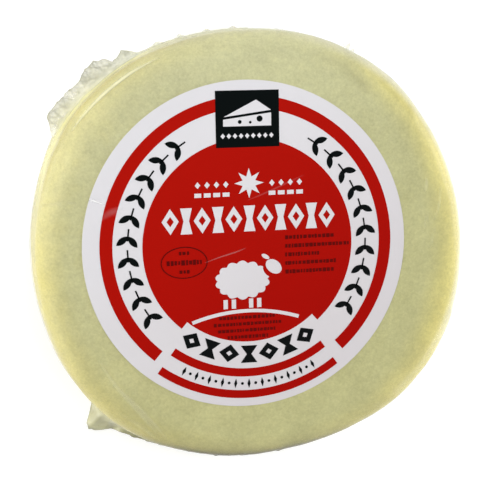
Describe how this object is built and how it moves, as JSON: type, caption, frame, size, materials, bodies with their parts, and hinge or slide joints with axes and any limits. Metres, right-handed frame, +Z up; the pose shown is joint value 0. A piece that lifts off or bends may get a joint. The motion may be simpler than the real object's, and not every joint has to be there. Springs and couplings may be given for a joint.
{
  "type": "film-wrapped cheese wheel",
  "caption": "Small off-round wheel of pale sheep's milk cheese, sealed in a clear shrink bag with a crumpled edge, with a round paper label on its face.",
  "frame": {"origin": "middle of the wheel's flat underside", "axes": "+Z up through the label, +Y towards the top of the label, +X to its right"},
  "size_m": [0.1625, 0.1613, 0.0433],
  "materials": {
    "cheese_in_film": "pale straw yellow cheese, soft and faintly mottled, seen through clear film pressed on to it",
    "clear_film": "thin clear shrink film, glossy, milky where it is crumpled or doubled",
    "label_paper": "smooth white label paper under film",
    "red_ink": "bright red print, satin under film",
    "black_ink": "black print, satin under film"
  },
  "bodies": {
    "root": {"wrapped_wheel": "cheese_in_film", "label": "label_paper"}
  },
  "joints": []
}
